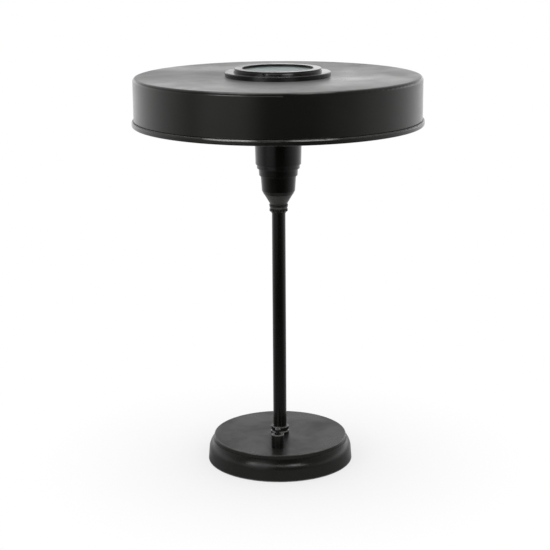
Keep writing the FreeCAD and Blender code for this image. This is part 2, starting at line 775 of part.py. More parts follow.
def socket_cup():
    """A spun cup in four widening steps, open at the top."""
    return turned("socket_cup", [
        ("rod_pass_radius", "cup_bottom"),
        ("cup_floor_radius", "cup_bottom"),
        ("cup_cone_radius", "cup_cone_top"),
        ("cup_first_radius", "cup_first_top"),
        ("cup_second_radius - cup_step_edge", "cup_first_top", "round", "cup_step_edge"),
        ("cup_second_radius", "cup_first_top + cup_step_edge"),
        ("cup_second_top_radius", "cup_second_top"),
        ("cup_third_radius - cup_step_edge", "cup_second_top", "round", "cup_step_edge"),
        ("cup_third_radius", "cup_second_top + cup_step_edge"),
        ("cup_third_radius", "cup_third_top"),
        ("cup_fourth_radius - cup_step_edge", "cup_third_top", "round", "cup_step_edge"),
        ("cup_fourth_radius", "cup_third_top + cup_step_edge"),
        ("cup_mouth_radius", "cup_top"),
        ("cup_mouth_radius - cup_wall", "cup_top"),
        ("cup_fourth_radius - cup_wall", "cup_third_top + cup_wall"),
        ("cup_third_radius - cup_wall", "cup_third_top + cup_wall"),
        ("cup_third_radius - cup_wall", "cup_second_top + cup_wall"),
        ("cup_second_top_radius - cup_wall", "cup_second_top + cup_wall"),
        ("cup_second_radius - cup_wall", "cup_first_top + cup_wall"),
        ("cup_first_radius - cup_wall", "cup_first_top + cup_wall"),
        ("cup_cone_radius - cup_wall", "cup_cone_top + cup_wall / 2"),
        ("cup_floor_radius - cup_wall / 2", "cup_bottom + cup_wall"),
        ("rod_pass_radius", "cup_bottom + cup_wall"),
    ])


def cup_parts():
    cone_ferrule()
    socket_cup()
    ring("cup_washer", "rod_pass_radius", "cup_floor_radius - cup_washer_margin",
         "cup_bottom + cup_wall", "cup_nut_bottom")
    nut("cup_nut", "rod_radius + nut_rim", "nut_height", "cup_nut_bottom", "rod_pass_radius")


def shade_nut(label, radius, bottom, height):
    """A notched ring nut on the lampholder's skirt."""
    body = ring(label, "ring_bore_radius", radius, bottom, f"{bottom} + {height}")
    notch = bore(body, "notch", "ring_notch_radius", height, y=f"-({radius})", z=bottom)
    repeat_round(body, notch, "ring_notch_count")
    return body


def lampholder():
    turned("holder_cap", [
        ("rod_pass_radius", "holder_neck_bottom"),
        ("holder_neck_radius", "holder_neck_bottom"),
        ("holder_neck_radius", "holder_floor_bottom"),
        ("holder_radius", "holder_floor_bottom"),
        ("holder_radius", "holder_cap_top"),
        ("holder_bore_radius", "holder_cap_top"),
        ("holder_bore_radius", "holder_floor_top"),
        ("rod_pass_radius", "holder_floor_top"),
    ])
    turned("holder_insulator", [
        ("insulator_recess_radius", "holder_floor_top"),
        ("insulator_radius", "holder_floor_top"),
        ("insulator_radius", "insulator_top"),
        ("0", "insulator_top"),
        ("0", "recess_top"),
        ("insulator_recess_radius", "recess_top"),
    ])
    terminals = new_body("holder_terminals")
    left = block(terminals, "terminal", "holder_terminal_width - holder_terminal_gap / 2",
                 "holder_terminal_length", "holder_terminal_height",
                 x="holder_terminal_width / 2 + holder_terminal_gap / 4", z="lead_top")
    repeat_round(terminals, left, "2")
    turned("centre_contact", [
        ("0", "insulator_top"),
        ("centre_contact_radius", "insulator_top"),
        ("centre_contact_radius", "insulator_top + centre_contact_height / 3"),
        ("bulb_tip_radius", "contact_top"),
        ("0", "contact_top"),
    ])
    turned("screw_shell", [
        ("shell_bore_radius", "insulator_top"),
        ("shell_radius + shell_bead", "insulator_top"),
        ("shell_radius + shell_bead", "insulator_top + shell_bead"),
        ("shell_radius", "insulator_top + 2 * shell_bead"),
        ("shell_radius", "shell_top - 2 * shell_bead"),
        ("shell_radius + shell_bead", "shell_top - shell_bead"),
        ("shell_radius + shell_bead", "shell_top"),
        ("shell_bore_radius", "shell_top"),
    ])
    ring("holder_skirt", "holder_bore_radius", "holder_radius", "holder_cap_top", "holder_top")
    shade_nut("lower_shade_ring", "lower_ring_radius", "cup_top - lower_ring_height", "lower_ring_height")
    shade_nut("upper_shade_ring", "upper_ring_radius", "carrier_top", "upper_ring_height")


def bulb():
    ring("bulb_tip", "0", "bulb_tip_radius", "contact_top", "seal_bottom + bulb_cap_wall")
    turned("bulb_seal", [
        ("bulb_tip_radius", "contact_top + bulb_tip_height / 2"),
        ("bulb_seal_radius", "seal_bottom"),
        ("bulb_seal_radius", "seal_bottom + bulb_cap_wall"),
        ("bulb_tip_radius", "seal_bottom + bulb_cap_wall"),
    ])
    turned("bulb_cap", [
        ("bulb_seal_radius", "seal_bottom"),
        ("bulb_cap_radius", "cap_shoulder"),
        ("bulb_cap_radius", "cap_top"),
        ("bulb_cap_radius - bulb_cap_wall", "cap_top"),
        ("bulb_cap_radius - bulb_cap_wall", "cap_shoulder + bulb_cap_wall / 2"),
        ("bulb_seal_radius", "seal_bottom + bulb_cap_wall"),
    ])
    turned("bulb_glass", [
        ("glass_inner_neck", "cap_top"),
        ("bulb_neck_radius", "cap_top"),
        ("bulb_neck_radius", "glass_neck_top"),
        ("glass_tangent_radius", "glass_tangent_height", "round", "bulb_radius"),
        ("0", "glass_centre + bulb_radius"),
        ("0", "glass_centre + glass_inner", "hollow", "glass_inner"),
        ("glass_inner_tangent_radius", "glass_inner_tangent_height"),
        ("glass_inner_neck", "glass_inner_neck_top"),
    ])
    turned("bulb_stem", [
        ("0", "cap_top"),
        ("glass_inner_neck - turned_fit", "cap_top"),
        ("glass_inner_neck - turned_fit", "cap_top + stem_flare"),
        ("stem_radius", "cap_top + 2 * stem_flare"),
        ("stem_radius", "stem_top"),
        ("stem_table_radius", "stem_top"),
        ("stem_table_radius", "stem_top + stem_table"),
        ("0", "stem_top + stem_table"),
    ])
    filaments = new_body("bulb_filaments")
    one = cylinder(filaments, "filament", "filament_radius", "filament_length",
                   x="filament_ring", z="stem_top + stem_table")
    repeat_round(filaments, one, "filament_count")


def shade_shell():
    """The drum: a dished top, a rounded edge, a plain wall and a folded hem under a crease."""
    body = turned("shade_shell", [
        ("shade_inner", "shade_bottom + shade_sheet"),
        ("shade_radius", "shade_bottom"),
        ("hem_radius - hem_foot_edge", "shade_bottom", "round", "hem_foot_edge"),
        ("hem_radius", "shade_bottom + hem_foot_edge"),
        ("hem_radius", "hem_top - hem_edge", "round", "hem_edge"),
        ("hem_radius - hem_edge", "hem_top"),
        ("shade_radius - crease_depth", "hem_top"),
        ("shade_radius", "hem_top + crease_height"),
        ("shade_radius", "shade_top - shade_edge", "round", "shade_edge"),
        ("shade_radius - shade_edge", "shade_top"),
        ("shade_seat_radius", "shade_seat_height"),
        ("shade_aperture", "shade_seat_height"),
        ("shade_aperture", "shade_seat_height - shade_sheet"),
        ("shade_seat_radius", "shade_seat_height - shade_sheet"),
        ("shade_radius - shade_edge", "shade_top - shade_sheet", "hollow", "inner_edge"),
        ("shade_inner", "shade_top - shade_edge"),
    ])
    hole = bore(body, "shade_screw_hole", "port_screw_radius + turned_fit", "shade_sheet",
                x="port_screw_ring", z="clamp_top")
    repeat_round(body, hole, "port_screw_count")
    return body


def shade_carrier():
    """A ring on the lampholder and three bent arms that run up to the shade's wall."""
    plate = ring("carrier_ring", "ring_bore_radius", "carrier_radius", "cup_top", "carrier_top")
    hole = bore(plate, "rivet_hole", "rivet_radius + turned_fit", "carrier_thickness",
                x="rivet_ring", z="cup_top")
    repeat_round(plate, hole, "arm_count")
    turn(plate, (0, 0, 1), "arm_turn")

    arms = new_body("carrier_arms")
    bar = arms.newObject("PartDesign::Pad", "arm")
    bar.Profile = outline(arms, "arm_outline", "XZ_Plane", [
        ("arm_start", "carrier_top"),
        ("arm_bend", "carrier_top"),
        ("arm_face", "arm_foot_bottom"),
        ("arm_face", "arm_foot_top"),
        ("arm_face - arm_thickness", "arm_foot_top"),
        ("arm_face - arm_thickness", "arm_foot_bottom - arm_slope * arm_thickness + arm_upright"),
        ("arm_bend - arm_thickness * arm_slope / 2", "carrier_top + arm_thickness"),
        ("arm_start", "carrier_top + arm_thickness"),
    ])
    bar.Midplane = True
    bind(bar, Length="arm_width")
    doc.recompute()
    repeat_round(arms, bar, "arm_count")
    arm_hole = bore(arms, "arm_hole", "rivet_radius + turned_fit", "arm_thickness",
                    x="rivet_ring", z="carrier_top")
    repeat_round(arms, arm_hole, "arm_count")
    turn(arms, (0, 0, 1), "arm_turn")

    rivets = new_body("carrier_rivets")
    for name, radius, length, start in (
        ("rivet", "rivet_radius", "carrier_thickness + arm_thickness", "cup_top"),
        ("rivet_foot", "rivet_head_radius", "rivet_head", "cup_top - rivet_head"),
        ("rivet_top", "rivet_head_radius", "rivet_head", "carrier_top + arm_thickness"),
    ):
        stretch = cylinder(rivets, name, radius, length, x="rivet_ring", z=start)
        repeat_round(rivets, stretch, "arm_count")
    turn(rivets, (0, 0, 1), "arm_turn")


def port_flange():
    body = turned("port_flange", [
        ("shade_aperture", "shade_seat_height"),
        ("clamp_ring_radius", "shade_seat_height"),
        ("clamp_ring_radius", "port_flange_top - port_flange_wall"),
        ("port_flange_radius - port_flange_wall", "port_flange_top - port_flange_wall"),
        ("port_flange_radius - port_flange_wall", "shade_seat_height"),
        ("port_flange_radius", "shade_seat_height"),
        ("port_flange_radius", "port_flange_top - port_flange_edge", "round", "port_flange_edge"),
        ("port_flange_radius - port_flange_edge", "port_flange_top"),
        ("port_spigot_radius", "port_flange_top"),
        ("port_spigot_radius", "spigot_top"),
        ("port_seat_radius", "spigot_top"),
        ("port_seat_radius", "port_seat"),
        ("shade_aperture", "port_seat"),
    ])
    hole = bore(body, "port_thread", "port_screw_radius + running_fit", "port_thread_depth",
                x="port_screw_ring", z="shade_seat_height")
    repeat_round(body, hole, "port_screw_count")
    return body


def port_ring():
    """The retaining ring over the glass, locked on the flange's spigot by radial screws."""
    body = turned("port_ring", [
        ("ring_recess_radius", "port_flange_top"),
        ("port_ring_radius", "port_flange_top"),
        ("port_ring_radius", "ring_groove_bottom"),
        ("ring_upper_radius", "ring_groove_bottom + port_ring_groove"),
        ("ring_upper_radius", "port_top - port_ring_edge", "round", "port_ring_edge"),
        ("ring_upper_radius - port_ring_edge", "port_top"),
        ("port_view_radius + port_ring_edge / 2", "port_top"),
        ("port_view_radius", "port_top - port_ring_edge / 2"),
        ("port_view_radius", "ring_lip_bottom"),
        ("glass_radius", "ring_lip_bottom"),
        ("glass_radius", "ring_recess_top"),
        ("ring_recess_radius", "ring_recess_top"),
    ])
    hole = bore(body, "lock_hole", "lock_screw_radius + running_fit", "port_ring_wall",
                "-Y", y="-port_spigot_radius", z="lock_height")
    repeat_round(body, hole, "lock_screw_count")
    sink = body.newObject("PartDesign::SubtractiveCone", "lock_sink")
    bind(sink, Radius1="lock_screw_radius", Radius2="lock_screw_radius + lock_sink_flare",
         Height="port_ring_radius - lock_screw_face")
    sink.Placement.Rotation = FreeCAD.Rotation(FreeCAD.Vector(1, 0, 0), 90)
    place(sink, y="-lock_screw_face", z="lock_height")
    doc.recompute()
    repeat_round(body, sink, "lock_screw_count")
    turn(body, (0, 0, 1), "lock_screw_turn")
    return body


def lock_screws():
    body = new_body("lock_screws")
    screw = cylinder(body, "lock_screw", "lock_screw_radius", "lock_screw_face - port_spigot_radius",
                     along="-Y", y="-port_spigot_radius", z="lock_height")
    repeat_round(body, screw, "lock_screw_count")
    turn(body, (0, 0, 1), "lock_screw_turn")
    return body


def port():
    port_flange()
    ring("glass_gasket", "shade_aperture", "glass_radius", "port_seat", "glass_bottom")
    ring("port_glass", "0", "glass_radius", "glass_bottom", "glass_top")
    port_ring()
    lock_screws()
    clamp = ring("clamp_ring", "shade_aperture", "clamp_ring_radius", "clamp_bottom", "clamp_top")
    hole = bore(clamp, "clamp_hole", "port_screw_radius + turned_fit", "clamp_ring_thickness",
                x="port_screw_ring", z="clamp_bottom")
    repeat_round(clamp, hole, "port_screw_count")
    screws = new_body("port_screws")
    head = cylinder(screws, "port_screw_head", "port_screw_head_radius", "port_screw_head",
                    x="port_screw_ring", z="clamp_bottom - port_screw_head")
    repeat_round(screws, head, "port_screw_count")
    shank = cylinder(screws, "port_screw_shank", "port_screw_radius", "port_screw_length",
                     x="port_screw_ring", z="clamp_bottom")
    repeat_round(screws, shank, "port_screw_count")


def switch_barrel():
    """The round housing on the base, with a threaded tail that goes through the plate."""
    body = turned("switch_barrel", [
        ("tail_bore_radius", "tail_bottom"),
        ("tail_radius", "tail_bottom"),
        ("tail_radius", "base_height"),
        ("barrel_radius", "base_height"),
        ("barrel_radius", "barrel_top - barrel_edge", "round", "barrel_edge"),
        ("barrel_radius - barrel_edge", "barrel_top"),
        ("barrel_mouth_radius", "barrel_top"),
        ("barrel_mouth_radius", "barrel_top - barrel_wall"),
        ("barrel_bore_radius", "barrel_top - barrel_wall"),
        ("barrel_bore_radius", "barrel_floor"),
        ("tail_bore_radius", "barrel_floor"),
    ])
    place(body, "switch_x", "switch_y")
    return body


def switch_cradle():
    """The insulating block that holds the lever's pin between two cheeks and the blades in its floor."""
    body = ring("switch_cradle", "0", "cradle_radius", "barrel_floor", "cradle_top")
    block(body, "cradle_slot", "cradle_slot", "2 * barrel_radius", "cradle_top - cradle_floor_top",
          "Subtractive", z="cradle_floor_top")
    bore(body, "pin_hole", "pin_radius + turned_fit", "2 * barrel_radius", "X",
         x="-barrel_radius", z="pivot_height")
    for side in ("-", ""):
        block(body, "blade_slot", "blade_width + 2 * turned_fit", "blade_thickness + 2 * turned_fit",
              "cradle_floor", "Subtractive",
              x=f"{side}blade_spacing / 2", y="blade_across", z="barrel_floor")
    place(body, "switch_x", "switch_y")
    return body


def switch_lever():
    """Ball, stem, rounded tip and lower finger, drawn upright about the pivot and leant back to rest."""
    body = new_body("switch_lever")
    revolve(body, "lever_section", [
        ("0", "-lever_finger_reach", "round", "lever_finger_radius"),
        ("lever_finger_radius", "-(lever_finger_reach - lever_finger_radius)"),
        ("lever_finger_radius", "-sqrt(lever_ball_radius^2 - lever_finger_radius^2)",
         "round", "lever_ball_radius"),
        ("lever_stem_radius", "sqrt(lever_ball_radius^2 - lever_stem_radius^2)"),
        ("lever_stem_radius", "lever_waist_length"),
        ("lever_tip_radius", "lever_length - lever_tip_radius", "round", "lever_tip_radius"),
        ("0", "lever_length"),
    ])
    bore(body, "lever_pin_hole", "pin_radius + running_fit", "2 * lever_ball_radius", "X",
         x="-lever_ball_radius")
    bore(body, "bridge_hole", "bridge_radius + turned_fit", "2 * lever_finger_radius", "X",
         x="-lever_finger_radius", z="-bridge_reach")
    lean_back(body)


def lean_back(body):
    """Puts a piece of the lever on its pivot, with the tip leant to the rear."""
    place(body, "switch_x", "switch_y", "pivot_height")
    turn(body, (1, 0, 0), "-lever_throw / 2")


def switch_bridge():
    """The brass bar through the lever's finger, which joins the two blades when the switch is on."""
    body = new_body("switch_bridge")
    cylinder(body, "bridge_bar", "bridge_radius", "bridge_length", along="X",
             x="-bridge_length / 2", z="-bridge_reach")
    lean_back(body)


def switch_pin():
    body = new_body("switch_pin")
    cylinder(body, "pin_rod", "pin_radius", "2 * (cradle_radius - seat_gap)", along="X",
             x="-(cradle_radius - seat_gap)")
    place(body, "switch_x", "switch_y", "pivot_height")


def switch_terminals():
    """Two brass blades, from beside the bridge down through the threaded tail."""
    body = new_body("switch_terminals")
    for side in ("-", ""):
        block(body, "blade", "blade_width", "blade_thickness", "blade_top - blade_bottom",
              x=f"{side}blade_spacing / 2", y="blade_across", z="blade_bottom")
    place(body, "switch_x", "switch_y")


def switch():
    switch_barrel()
    nut("switch_nut", "switch_nut_across", "switch_nut_height", "plate_underside - switch_nut_height",
        "tail_radius + turned_fit", x="switch_x", y="switch_y")
    switch_cradle()
    switch_lever()
    switch_bridge()
    switch_pin()
    switch_terminals()


def lead(label, stops):
    """One insulated lead: straight runs between the stops, joined by tangent arcs."""
    points = [FreeCAD.Vector(*(number(words) for words in stop)) for stop in stops]
    bend = number("lead_bend")
    radius = number("lead_radius")
    edges = []
    length = 0
    here = points[0]
    for before, corner, after in zip(points, points[1:], points[2:]):
        back = (before - corner).normalize()
        ahead = (after - corner).normalize()
        turned_by = math.pi - back.getAngle(ahead)
        reach = bend * math.tan(turned_by / 2)
        start = corner + back * reach
        end = corner + ahead * reach
        middle = corner + (back + ahead).normalize() * (bend / math.cos(turned_by / 2) - bend)
        edges.append(Part.LineSegment(here, start).toShape())
        edges.append(Part.Arc(start, middle, end).toShape())
        length += (start - here).Length + bend * turned_by
        here = end
    edges.append(Part.LineSegment(here, points[-1]).toShape())
    length += (points[-1] - here).Length
    profile = Part.Wire(Part.Circle(points[0], points[1] - points[0], radius).toShape())
    shape = Part.Wire(edges).makePipeShell([profile], True, False)
    volume = math.pi * radius ** 2 * length
    if abs(shape.Volume - volume) > volume / 1000:
        raise RuntimeError(f"{label} isn't a whole tube")
    print(label, "length", round(length, 1), "bend radius", bend)
    feature = doc.addObject("Part::Feature", label)
    feature.Label = label
    feature.Shape = shape
    subparts.append(feature)


def wiring():
    blocks = new_body("terminal_block")
    block(blocks, "block", "block_length", "block_depth", "block_height", y="block_y", z="cover_top")
    lead("neutral_lead", [
        ("lead_side", "block_face", "lead_height"),
        ("lead_side", "0", "lead_height"),
        ("lead_side", "0", "lead_top"),
    ])
    lead("switched_lead", [
        ("switch_x - blade_spacing / 2", "blade_y", "blade_bottom"),
        ("switch_x - blade_spacing / 2", "blade_y", "lead_height"),
        ("-lead_side", "0", "lead_height"),
        ("-lead_side", "0", "lead_top"),
    ])
    lead("feed_lead", [
        ("feed_side", "block_face", "lead_height"),
        ("feed_side", "blade_y", "lead_height"),
        ("switch_x + blade_spacing / 2", "blade_y", "lead_height"),
        ("switch_x + blade_spacing / 2", "blade_y", "blade_bottom"),
    ])


def check(thing):
    """Stops at a failed object or an empty shape."""
    if "Invalid" in thing.State or "Error" in thing.State:
        raise RuntimeError(f"{thing.Label} failed: {thing.State}")


def write_steps():
    os.makedirs("parts", exist_ok=True)
    for thing in doc.Objects:
        check(thing)
    for part in subparts:
        shape = part.Shape
        if shape.isNull() or not shape.isValid() or not shape.Solids:
            raise RuntimeError(f"{part.Label} has no sound shape")
        shape.exportStep(f"parts/{part.Label}.step")
    print(len(subparts), "sub-parts written")


fill_sheet()
shell = base_shell()
base_weight()
bottom_cover()
felt_pad()
cover_screws()
cord_grommet(shell)
pole_parts()
cup_parts()
lampholder()
bulb()
shade_shell()
shade_carrier()
port()
switch()
wiring()
doc.recompute()
write_steps()
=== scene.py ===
"""Looks, studio and camera for the table lamp. Metres, +Z up, the origin at the centre of the base."""

import json
import math
from collections import namedtuple

import bmesh
import bpy
from mathutils import Matrix, Vector

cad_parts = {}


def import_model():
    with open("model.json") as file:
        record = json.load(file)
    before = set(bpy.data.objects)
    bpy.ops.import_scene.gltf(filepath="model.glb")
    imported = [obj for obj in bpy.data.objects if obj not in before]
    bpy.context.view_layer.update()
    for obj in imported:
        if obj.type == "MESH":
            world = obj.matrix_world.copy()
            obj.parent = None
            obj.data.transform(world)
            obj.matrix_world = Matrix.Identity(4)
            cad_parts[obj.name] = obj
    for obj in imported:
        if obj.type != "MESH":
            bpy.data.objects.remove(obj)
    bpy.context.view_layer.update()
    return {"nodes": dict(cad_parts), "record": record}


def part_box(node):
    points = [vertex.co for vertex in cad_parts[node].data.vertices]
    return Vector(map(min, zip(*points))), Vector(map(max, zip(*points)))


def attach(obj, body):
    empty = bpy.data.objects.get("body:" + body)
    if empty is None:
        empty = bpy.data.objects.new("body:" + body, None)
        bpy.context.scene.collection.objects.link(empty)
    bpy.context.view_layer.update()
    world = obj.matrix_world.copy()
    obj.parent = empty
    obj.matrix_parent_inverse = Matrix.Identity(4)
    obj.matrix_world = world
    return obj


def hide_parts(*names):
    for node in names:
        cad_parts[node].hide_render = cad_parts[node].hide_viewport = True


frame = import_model()
nodes = frame["nodes"]

UP, DOWN = Vector((0.0, 0.0, 1.0)), Vector((0.0, 0.0, -1.0))


# Node trees.

def connect(tree, value, socket):
    """Sets a socket to a number or links it to another one."""
    if isinstance(value, (int, float)):
        socket.default_value = value
    else:
        tree.links.new(value, socket)


def arithmetic(tree, operation, *values):
    node = tree.nodes.new("ShaderNodeMath")
    node.operation = operation
    for socket, value in zip(node.inputs, values):
        connect(tree, value, socket)
    return node.outputs[0]


def remap(tree, source, low, high, start, end, kind="LINEAR"):
    """Maps source from low..high to start..end, clamped."""
    node = tree.nodes.new("ShaderNodeMapRange")
    node.interpolation_type = kind
    node.clamp = True
    for name, value in (("From Min", low), ("From Max", high), ("To Min", start), ("To Max", end)):
        node.inputs[name].default_value = value
    tree.links.new(source, node.inputs["Value"])
    return node.outputs[0]


def parts_of(tree, vector):
    """The x, y and z of a vector."""
    node = tree.nodes.new("ShaderNodeSeparateXYZ")
    tree.links.new(vector, node.inputs[0])
    return tuple(node.outputs)


def from_axis(tree, x, y):
    """How far (x, y) is from the Z axis."""
    squares = [arithmetic(tree, "MULTIPLY", part, part) for part in (x, y)]
    return arithmetic(tree, "SQRT", arithmetic(tree, "ADD", *squares))


def mix_shaders(tree, factor, first, second):
    node = tree.nodes.new("ShaderNodeMixShader")
    for socket, source in zip(node.inputs, (factor, first, second)):
        tree.links.new(source, socket)
    return node.outputs[0]


class Shader:
    """Builds one material's node tree."""

    def __init__(self, name):
        self.material = bpy.data.materials.new(name)
        self.material.use_nodes = True
        self.tree = self.material.node_tree
        self.tree.nodes.clear()
        self.output = self.tree.nodes.new("ShaderNodeOutputMaterial")
        self.surface = self.tree.nodes.new("ShaderNodeBsdfPrincipled")
        self.tree.links.new(self.surface.outputs[0], self.output.inputs["Surface"])
        self.coords = self.tree.nodes.new("ShaderNodeTexCoord").outputs["Object"]
        self.normal = None

    def fixed(self, **values):
        """Sets plain values on the surface shader. An underscore in a name stands for a space."""
        for name, value in values.items():
            self.surface.inputs[name.replace("_", " ")].default_value = value

    def feed(self, name, source):
        self.tree.links.new(source, self.surface.inputs[name])

    def stretched(self, x, y, z):
        """The coordinates scaled by x, y and z."""
        node = self.tree.nodes.new("ShaderNodeMapping")
        node.inputs["Scale"].default_value = (x, y, z)
        self.tree.links.new(self.coords, node.inputs["Vector"])
        return node.outputs[0]

    def noise(self, scale, detail, roughness, distortion=0.0, coords=None):
        node = self.tree.nodes.new("ShaderNodeTexNoise")
        for name, value in (("Scale", scale), ("Detail", detail), ("Roughness", roughness),
                            ("Distortion", distortion)):
            node.inputs[name].default_value = value
        self.tree.links.new(coords or self.coords, node.inputs["Vector"])
        return node.outputs["Fac"]

    def ramp(self, source, low, high, start, end):
        return remap(self.tree, source, low, high, start, end)

    def math(self, operation, *values):
        return arithmetic(self.tree, operation, *values)

    def blend(self, factor, first, second):
        """Mixes two colours. Each is a tuple or a socket."""
        node = self.tree.nodes.new("ShaderNodeMix")
        node.data_type = "RGBA"
        self.tree.links.new(factor, node.inputs["Factor"])
        for socket, value in ((node.inputs[6], first), (node.inputs[7], second)):
            if isinstance(value, tuple):
                socket.default_value = (*value, 1.0)
            else:
                self.tree.links.new(value, socket)
        return node.outputs[2]

    def bump(self, height, strength, distance):
        """Adds a bump on top of the ones before it."""
        node = self.tree.nodes.new("ShaderNodeBump")
        node.inputs["Strength"].default_value = strength
        node.inputs["Distance"].default_value = distance
        self.tree.links.new(height, node.inputs["Height"])
        if self.normal is not None:
            self.tree.links.new(self.normal, node.inputs["Normal"])
        self.normal = node.outputs[0]
        self.feed("Normal", self.normal)

    def place(self):
        """The point's distance from the lamp's axis and its height."""
        x, y, z = parts_of(self.tree, self.coords)
        return from_axis(self.tree, x, y), z

    def facing_up(self):
        """How far the surface faces up, from -1 to 1."""
        return parts_of(self.tree, self.coords.node.outputs["Normal"])[2]

    def near(self, source, middle, reach):
        """One where source is at middle, falling to nothing at reach from it."""
        away = self.math("ABSOLUTE", self.math("SUBTRACT", source, middle))
        return self.ramp(away, 0.0, reach, 1.0, 0.0)

    def edge_mask(self, edge, radius, height):
        """One along an edge that is rubbed bare, falling off to both sides of it."""
        masks = [self.near(source, middle, edge.reach)
                 for source, middle in ((radius, edge.radius), (height, edge.height)) if middle is not None]
        mask = masks[0] if len(masks) == 1 else self.math("MULTIPLY", *masks)
        return self.math("MINIMUM", self.math("MULTIPLY", mask, edge.bare), 1.0)

    def worn_mask(self, spots):
        """One at each spot, falling to almost nothing at its reach from there."""
        worn = None
        for x, y, reach in spots:
            gap = self.tree.nodes.new("ShaderNodeVectorMath")
            gap.operation = "DISTANCE"
            self.tree.links.new(self.stretched(1.0, 1.0, 0.0), gap.inputs[0])
            gap.inputs[1].default_value = (x, y, 0.0)
            here = self.ramp(gap.outputs["Value"], 0.4 * reach, reach, 1.0, 0.04)
            worn = here if worn is None else self.math("MAXIMUM", worn, here)
        return worn


# Colours and materials.

BLACK = (0.0034, 0.0036, 0.0024)
SMOKE = (0.0066, 0.0069, 0.0052)
INK = (0.0010, 0.0011, 0.0006)
SOOT = (0.0030, 0.0032, 0.0021)
LEAD = (0.014, 0.0142, 0.0125)
ASH = (0.028, 0.0285, 0.0255)
# Dust on the shade's top, also a painted reflection that lightens it
DUST_AND_REFLECTION = (0.060, 0.060, 0.057)
FILM = (0.012, 0.012, 0.011)
RUBBED = (0.82, 0.82, 0.82)

# An edge that is rubbed bare. Its radius or its height is None where it has no say.
Edge = namedtuple("Edge", "radius height reach bare")


def enamel(name, dark, light, rough, patch, edges=(), dust_and_reflection=None, spots=(), shaded_joins=(), sheen=0.0):
    """Hand-rubbed black enamel on spun metal, in soft burnished patches of a size set by patch.

    Rough is the least and the most roughness. The pair given for the faces that look up is their colour and
    added roughness; that colour is dust in part, and in part a painted reflection that lightens the tops. Spots
    are the places, (x, y, reach), to which the rubbing of the edges keeps. Each shaded join is (height, reach),
    a band at that height painted black: painted shade where two parts meet.
    """
    shader = Shader(name)
    patches = shader.noise(patch, 4.0, 0.6, 0.5)
    streaks = shader.noise(24.0, 5.0, 0.62, 0.4, shader.stretched(0.6, 0.6, 2.4))
    specks = shader.noise(420.0, 2.0, 0.5)
    tone = shader.math("ADD", shader.math("MULTIPLY", patches, 0.7), shader.math("MULTIPLY", streaks, 0.3))
    colour = shader.blend(shader.ramp(tone, 0.38, 0.64, 0.0, 1.0), dark, light)
    smoothest, roughest = rough
    roughness = shader.ramp(tone, 0.40, 0.62, roughest, smoothest)
    # Faces that look up turn paler: dust in part, and in part a painted reflection that brightens the tops.
    if dust_and_reflection:
        dust, rougher = dust_and_reflection
        upward = shader.ramp(shader.facing_up(), 0.75, 0.98, 0.0, 1.0)
        wiped = shader.ramp(shader.noise(8.0, 5.0, 0.6, 0.3), 0.30, 0.70, 0.35, 1.0)
        colour = shader.blend(shader.math("MULTIPLY", upward, wiped), colour, dust)
        uneven = shader.math("MULTIPLY", upward, shader.ramp(wiped, 0.35, 1.0, 0.4 * rougher, 1.5 * rougher))
        roughness = shader.math("ADD", roughness, uneven)
    if edges:
        radius, height = shader.place()
        bare = None
        for edge in edges:
            mask = shader.edge_mask(edge, radius, height)
            bare = mask if bare is None else shader.math("MAXIMUM", bare, mask)
        broken = shader.ramp(shader.noise(55.0, 4.0, 0.65), 0.36, 0.60, 0.45, 1.0)
        bare = shader.math("MULTIPLY", bare, broken)
        if spots:
            bare = shader.math("MULTIPLY", bare, shader.worn_mask(spots))
        colour = shader.blend(bare, colour, RUBBED)
        shader.feed("Metallic", bare)
    # Painted shade: a black band at each join's height, standing in for the shade where two parts meet.
    for seam_height, reach in shaded_joins:
        join_shade = shader.near(shader.place()[1], seam_height, reach)
        colour = shader.blend(join_shade, colour, INK)
        roughness = shader.math("ADD", roughness, shader.math("MULTIPLY", join_shade, 0.5))
    shader.feed("Base Color", colour)
    shader.feed("Roughness", roughness)
    shader.fixed(IOR=1.5, Sheen_Weight=sheen, Sheen_Roughness=0.35)
    shader.bump(specks, 0.030, 0.0006)
    shader.bump(streaks, 0.036, 0.0016)
    return shader.material


def metal(name, colour, rough, scale=300.0, stretch=(1.0, 1.0, 1.0)):
    """Bare metal with fine turning or rolling marks."""
    shader = Shader(name)
    marks = shader.noise(scale, 3.0, 0.6, 0.0, shader.stretched(*stretch))
    stains = shader.ramp(shader.noise(40.0, 4.0, 0.6), 0.35, 0.7, 0.0, 1.0)
    stained = tuple(0.72 * part for part in colour)
    shader.feed("Base Color", shader.blend(stains, colour, stained))
    shader.feed("Roughness", shader.ramp(marks, 0.3, 0.7, rough - 0.08, rough + 0.1))
    shader.fixed(Metallic=1.0)
    shader.bump(marks, 0.08, 0.0004)
    return shader.material


def moulded(name, colour, rough):
    """Moulded plastic or rubber with a faint texture and a little dust."""
    shader = Shader(name)
    texture = shader.noise(180.0, 4.0, 0.6)
    dust = shader.ramp(shader.noise(22.0, 4.0, 0.6), 0.4, 0.7, 0.0, 1.0)
    dusted = tuple(min(1.0, 0.8 * part + 0.012) for part in colour)
    shader.feed("Base Color", shader.blend(dust, colour, dusted))
    shader.feed("Roughness", shader.ramp(texture, 0.3, 0.7, rough - 0.06, rough + 0.08))
    shader.bump(texture, 0.06, 0.0005)
    return shader.material


def iron(name):
    """Rough cast iron with some rust."""
    shader = Shader(name)
    pits = shader.noise(260.0, 5.0, 0.7)
    rust = shader.ramp(shader.noise(18.0, 5.0, 0.65), 0.45, 0.7, 0.0, 1.0)
    shader.feed("Base Color", shader.blend(rust, (0.06, 0.058, 0.056), (0.10, 0.065, 0.045)))
    shader.feed("Roughness", shader.ramp(pits, 0.3, 0.7, 0.55, 0.8))
    shader.fixed(Metallic=0.6)
    shader.bump(pits, 0.5, 0.0012)
    return shader.material


